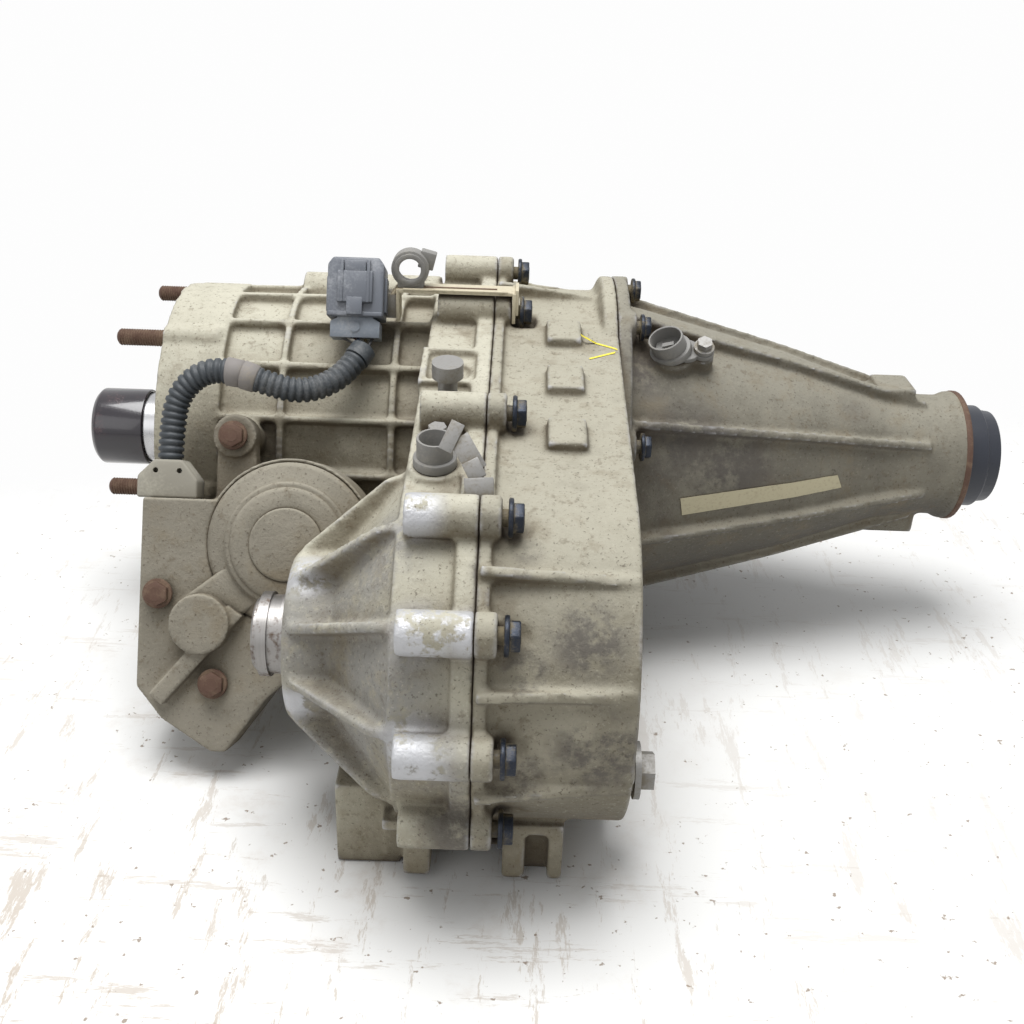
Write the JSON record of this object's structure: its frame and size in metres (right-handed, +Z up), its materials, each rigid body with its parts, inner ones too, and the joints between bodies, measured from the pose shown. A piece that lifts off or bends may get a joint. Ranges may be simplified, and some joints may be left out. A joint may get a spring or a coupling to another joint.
{
  "type": "transfer case",
  "caption": "Part-time four-wheel-drive transfer case: ribbed cast housing with planetary range set, clutch, chain drive to a front output and electric shift motor",
  "frame": {"origin": "centre of the front mounting face on the main shaft axis", "axes": "+X along the main shaft towards the rear output, -Y towards the front output, +Z up"},
  "size_m": [0.573, 0.4343, 0.2513],
  "materials": {
    "cast_case": "dusty die-cast",
    "cast_case_rear": "dusty die-cast",
    "cast_tail": "dusty die-cast",
    "machined_steel": "machined",
    "bolt_steel": "dark coated",
    "black_rubber": "matte",
    "black_plastic": "dusty matte",
    "cap_plastic": "gloss",
    "motor_paint": "dusty matte",
    "sheet_steel": "cream coated",
    "bronze": "plain",
    "magnet_ferrite": "matte"
  },
  "bodies": {
    "housing": {"front_case": "cast_case", "rear_case": "cast_case_rear", "extension_housing": "cast_tail", "ring_gear": "machined_steel", "input_bearing": "machined_steel", "front_output_bearing": "machined_steel", "front_output_rear_bearing": "machined_steel", "rear_bearing": "machined_steel", "shift_rail": "machined_steel", "chain": "machined_steel", "oil_pump": "machined_steel", "oil_pickup_tube": "machined_steel", "adapter_studs": "bolt_steel", "case_bolts": "bolt_steel", "extension_bolts": "bolt_steel", "motor_bolts": "bolt_steel", "sensor_bolts": "bolt_steel", "fill_plug": "bolt_steel", "drain_plug": "bolt_steel", "input_seal": "black_rubber", "rear_seal": "black_rubber", "front_output_seal": "black_rubber", "rear_dust_boot": "black_rubber", "harness_boot": "black_rubber", "harness_conduit": "black_plastic", "conduit_tape": "black_plastic", "harness_wires": "black_plastic", "connector_body": "black_plastic", "connector_plug": "black_plastic", "connector_clip": "black_plastic", "bracket_clip": "black_plastic", "hose_clip": "black_plastic", "front_speed_sensor": "black_plastic", "rear_speed_sensor": "black_plastic", "oil_strainer": "black_plastic", "breather": "black_plastic", "motor_housing": "motor_paint", "motor_cover": "motor_paint", "harness_bracket": "sheet_steel", "tail_bushing": "bronze", "magnet": "magnet_ferrite"},
    "input": {"input_shaft": "machined_steel"},
    "input_cover": {"input_cap": "cap_plastic"},
    "carrier": {"planet_carrier": "machined_steel", "planet_pins": "machined_steel"},
    "planet_1": {"planet_gear_1": "machined_steel"},
    "planet_2": {"planet_gear_2": "machined_steel"},
    "planet_3": {"planet_gear_3": "machined_steel"},
    "main": {"main_shaft": "machined_steel", "clutch_plates": "machined_steel", "speed_ring": "machined_steel"},
    "collar": {"range_collar": "machined_steel"},
    "fork": {"range_fork": "machined_steel"},
    "sector": {"shift_sector": "machined_steel"},
    "drive": {"drive_sprocket": "machined_steel", "clutch_drum": "machined_steel"},
    "front_output": {"front_output_shaft": "machined_steel", "driven_sprocket": "machined_steel", "output_slinger": "machined_steel"}
  },
  "joints": [
    {"name": "input_spin", "type": "hinge", "parent": "housing", "child": "input", "pos_m": [0, 0, 0], "axis": [1, 0, 0], "continuous": true},
    {"name": "carrier_spin", "type": "hinge", "parent": "housing", "child": "carrier", "pos_m": [0.04, 0, 0], "axis": [1, 0, 0], "continuous": true},
    {"name": "main_shaft_spin", "type": "hinge", "parent": "housing", "child": "main", "pos_m": [0.25, 0, 0], "axis": [1, 0, 0], "continuous": true},
    {"name": "range_collar_slide", "type": "slide", "parent": "main", "child": "collar", "axis": [1, 0, 0], "range_m": [0, 0.01505]},
    {"name": "range_fork_slide", "type": "slide", "parent": "housing", "child": "fork", "axis": [1, 0, 0], "range_m": [0, 0.01505]},
    {"name": "sector_turn", "type": "hinge", "parent": "housing", "child": "sector", "pos_m": [0.0885, -0.0846, -0.03388], "axis": [0, -0.891, 0.454], "range_deg": [-40, 0]},
    {"name": "front_output_spin", "type": "hinge", "parent": "housing", "child": "front_output", "pos_m": [0.2, -0.21535, -0.01544], "axis": [1, 0, 0], "continuous": true, "deforming": ["chain"]},
    {"name": "drive_sprocket_spin", "type": "hinge", "parent": "housing", "child": "drive", "pos_m": [0.2, 0, 0], "axis": [1, 0, 0], "continuous": true},
    {"name": "input_cap_slide", "type": "slide", "parent": "input", "child": "input_cover", "axis": [1, 0, 0], "range_m": [-0.04, 0]},
    {"name": "planet_1_spin", "type": "hinge", "parent": "carrier", "child": "planet_1", "pos_m": [0.046, 0.0513, 0], "axis": [1, 0, 0], "continuous": true},
    {"name": "planet_2_spin", "type": "hinge", "parent": "carrier", "child": "planet_2", "pos_m": [0.046, -0.02565, 0.04443], "axis": [1, 0, 0], "continuous": true},
    {"name": "planet_3_spin", "type": "hinge", "parent": "carrier", "child": "planet_3", "pos_m": [0.046, -0.02565, -0.04443], "axis": [1, 0, 0], "continuous": true}
  ],
  "couplings": [
    {"joint": "carrier_spin", "follows": "input_spin", "ratio": 0.36842},
    {"joint": "main_shaft_spin", "follows": "input_spin", "ratio": 1},
    {"joint": "planet_1_spin", "follows": "input_spin", "ratio": -1.7684},
    {"joint": "planet_2_spin", "follows": "input_spin", "ratio": -1.7684},
    {"joint": "planet_3_spin", "follows": "input_spin", "ratio": -1.7684},
    {"joint": "drive_sprocket_spin", "follows": "front_output_spin", "ratio": 1},
    {"joint": "sector_turn", "follows": "range_fork_slide", "rad_per_m": -46.387},
    {"joint": "range_collar_slide", "follows": "range_fork_slide", "ratio": 1}
  ]
}
